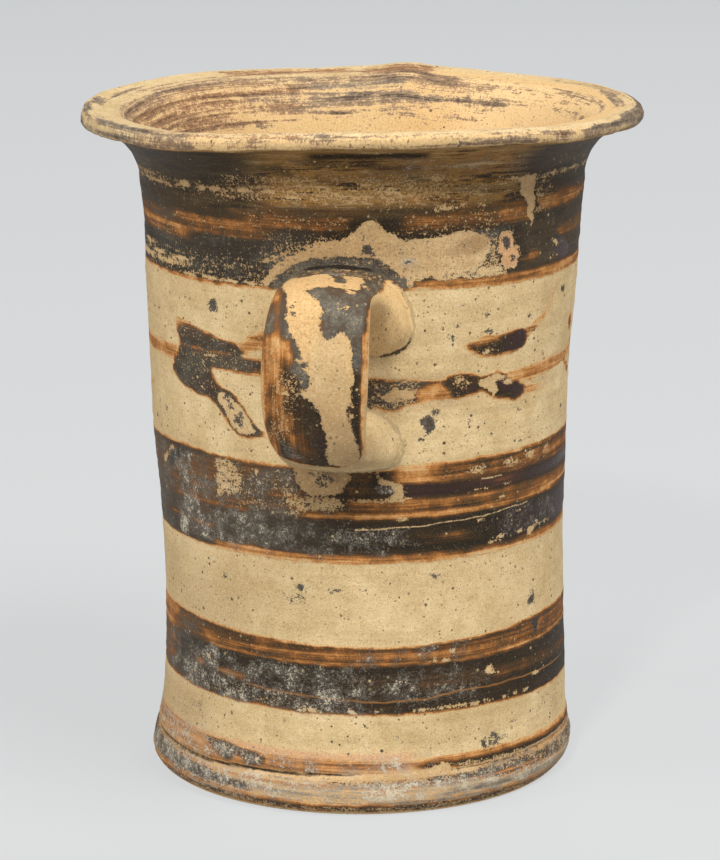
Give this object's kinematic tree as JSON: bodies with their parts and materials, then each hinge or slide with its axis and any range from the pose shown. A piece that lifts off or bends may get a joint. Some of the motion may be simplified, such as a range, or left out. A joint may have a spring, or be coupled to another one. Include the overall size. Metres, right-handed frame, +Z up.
{
  "type": "kyathos",
  "caption": "Straight-sided clay cup with a flared rim, a low spreading foot, one vertical strap handle and worn dark painted bands.",
  "frame": {"origin": "centre of the flat underside that the cup stands on", "axes": "+Z up along the cup's axis, handle towards -Y, +X to the right when facing the handle"},
  "size_m": [0.0993, 0.1077, 0.1212],
  "materials": {
    "painted_clay": "matt buff fired clay with worn brown-black and orange-brown painted bands"
  },
  "bodies": {
    "root": {"kyathos": "painted_clay"}
  },
  "joints": []
}
